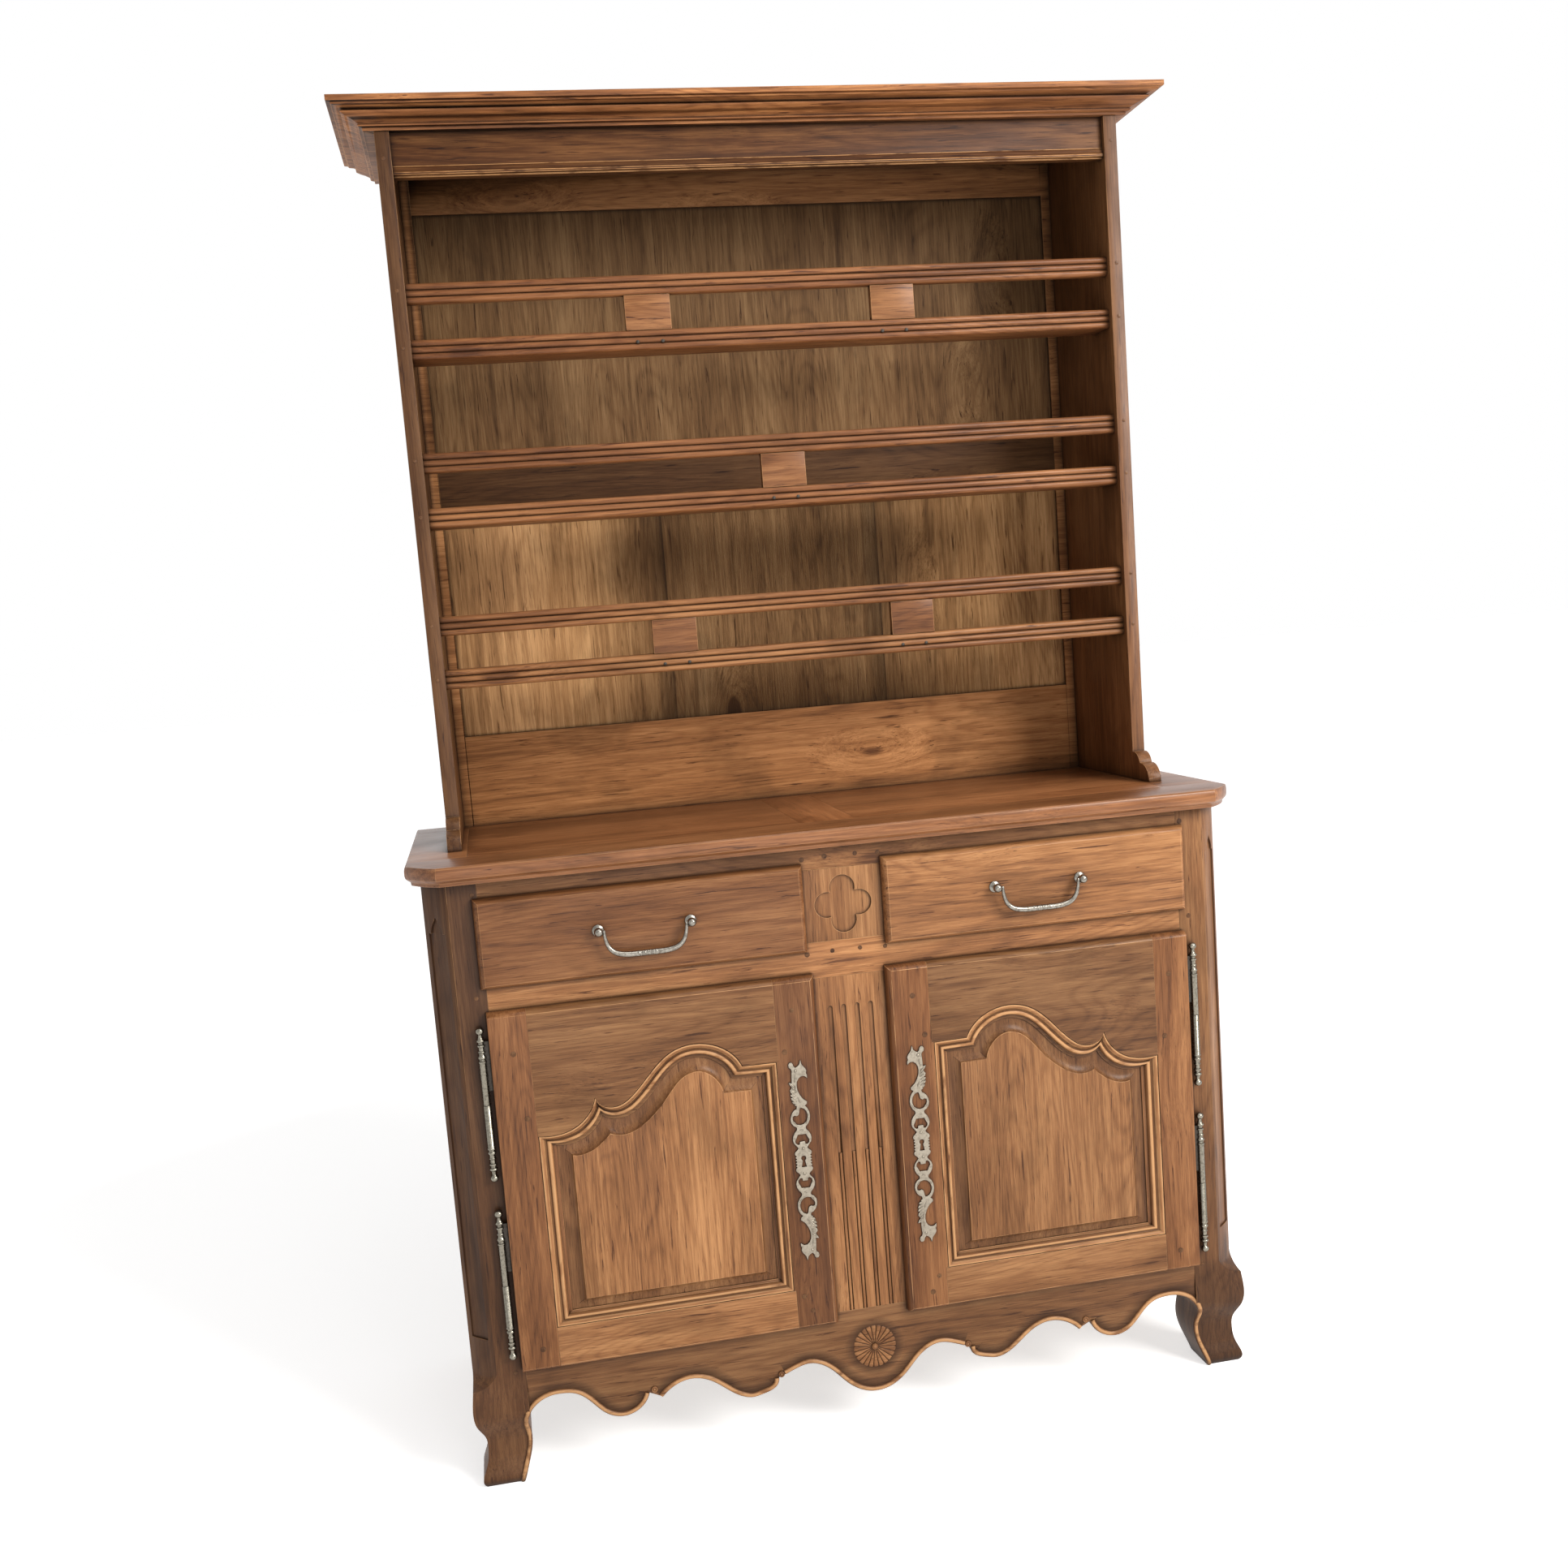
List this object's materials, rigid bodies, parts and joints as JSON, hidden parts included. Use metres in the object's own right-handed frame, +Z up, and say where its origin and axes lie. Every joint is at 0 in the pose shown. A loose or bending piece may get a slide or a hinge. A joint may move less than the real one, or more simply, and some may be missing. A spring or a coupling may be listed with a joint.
{
  "type": "dresser",
  "caption": "Two-part dresser: a low cupboard with drawers over arched panelled doors on short cabriole feet, and an open plate rack with narrow rails and a moulded cornice.",
  "frame": {"origin": "on the floor under the middle of the whole piece's box, width and depth", "axes": "+X to the right hand of someone facing the dresser, +Y towards the wall behind it, +Z up"},
  "size_m": [1.306, 0.5106, 2.1],
  "materials": {
    "waxed_cherry": "hand waxed, satin",
    "polished_cherry": "waxed and rubbed to a soft gloss",
    "dark_walnut": "dark stain with worn arrises",
    "back_oak": "dry, with old stains",
    "inner_poplar": "planed, unfinished",
    "silvered_pulls": "antique silvered, dark in the hollows",
    "nickel_hinges": "aged nickel",
    "pewter_plates": "pale worn brass",
    "lock_iron": "oiled iron"
  },
  "bodies": {
    "case": {"apron": "waxed_cherry", "case_back_panel": "back_oak", "case_back_rails": "back_oak", "cornice": "dark_walnut", "cupboard_floor": "inner_poplar", "drawer_divider": "waxed_cherry", "fluted_stile": "waxed_cherry", "frieze_board": "dark_walnut", "front_left_post": "waxed_cherry", "front_right_post": "waxed_cherry", "inner_shelf": "inner_poplar", "lower_plate_rail": "waxed_cherry", "lower_slat": "waxed_cherry", "middle_plate_rail": "waxed_cherry", "middle_rail": "waxed_cherry", "middle_slat": "waxed_cherry", "post_hinges": "nickel_hinges", "rack_back_boards": "back_oak", "rack_back_frame": "back_oak", "rack_left_side": "waxed_cherry", "rack_right_side": "waxed_cherry", "rack_top_board": "back_oak", "rear_posts": "back_oak", "runners_and_bearers": "inner_poplar", "side_panels": "waxed_cherry", "side_rails": "waxed_cherry", "spacer_blocks": "waxed_cherry", "top_frame": "polished_cherry", "top_muntin": "polished_cherry", "top_panels": "polished_cherry", "top_rail": "waxed_cherry", "upper_plate_rail": "waxed_cherry", "upper_slat": "waxed_cherry"},
    "left_drawer": {"left_drawer_front": "waxed_cherry", "left_drawer_box": "inner_poplar", "left_drawer_bottom": "inner_poplar", "left_pull_knobs": "silvered_pulls"},
    "right_drawer": {"right_drawer_front": "waxed_cherry", "right_drawer_box": "inner_poplar", "right_drawer_bottom": "inner_poplar", "right_pull_knobs": "silvered_pulls"},
    "left_bail": {"left_bail": "silvered_pulls"},
    "right_bail": {"right_bail": "silvered_pulls"},
    "left_door": {"left_lock_stile": "waxed_cherry", "left_hinge_stile": "waxed_cherry", "left_foot_rail": "waxed_cherry", "left_arched_rail": "waxed_cherry", "left_door_panel": "waxed_cherry", "left_door_hinges": "nickel_hinges", "left_escutcheon": "pewter_plates"},
    "right_door": {"right_lock_stile": "waxed_cherry", "right_hinge_stile": "waxed_cherry", "right_foot_rail": "waxed_cherry", "right_arched_rail": "waxed_cherry", "right_door_panel": "waxed_cherry", "right_door_hinges": "nickel_hinges", "right_escutcheon": "pewter_plates", "lock_case": "lock_iron"},
    "lock_bolt": {"lock_bolt": "lock_iron"}
  },
  "joints": [
    {"name": "left_drawer_slide", "type": "slide", "parent": "case", "child": "left_drawer", "axis": [0, -1, 0], "range_m": [0, 0.3]},
    {"name": "right_drawer_slide", "type": "slide", "parent": "case", "child": "right_drawer", "axis": [0, -1, 0], "range_m": [0, 0.3]},
    {"name": "left_bail_swing", "type": "hinge", "parent": "left_drawer", "child": "left_bail", "pos_m": [-0.309, -0.24825, 0.855], "axis": [-1, 0, 0], "range_deg": [-8, 100]},
    {"name": "right_bail_swing", "type": "hinge", "parent": "right_drawer", "child": "right_bail", "pos_m": [0.309, -0.24825, 0.855], "axis": [-1, 0, 0], "range_deg": [-8, 100]},
    {"name": "left_door_hinge", "type": "hinge", "parent": "case", "child": "left_door", "pos_m": [-0.566, -0.22595, 0.4675], "axis": [0, 0, -1], "range_deg": [0, 165]},
    {"name": "right_door_hinge", "type": "hinge", "parent": "case", "child": "right_door", "pos_m": [0.566, -0.22595, 0.4675], "axis": [0, 0, 1], "range_deg": [0, 165]},
    {"name": "lock_bolt_throw", "type": "slide", "parent": "right_door", "child": "lock_bolt", "axis": [-1, 0, 0], "range_m": [0, 0.013]}
  ]
}
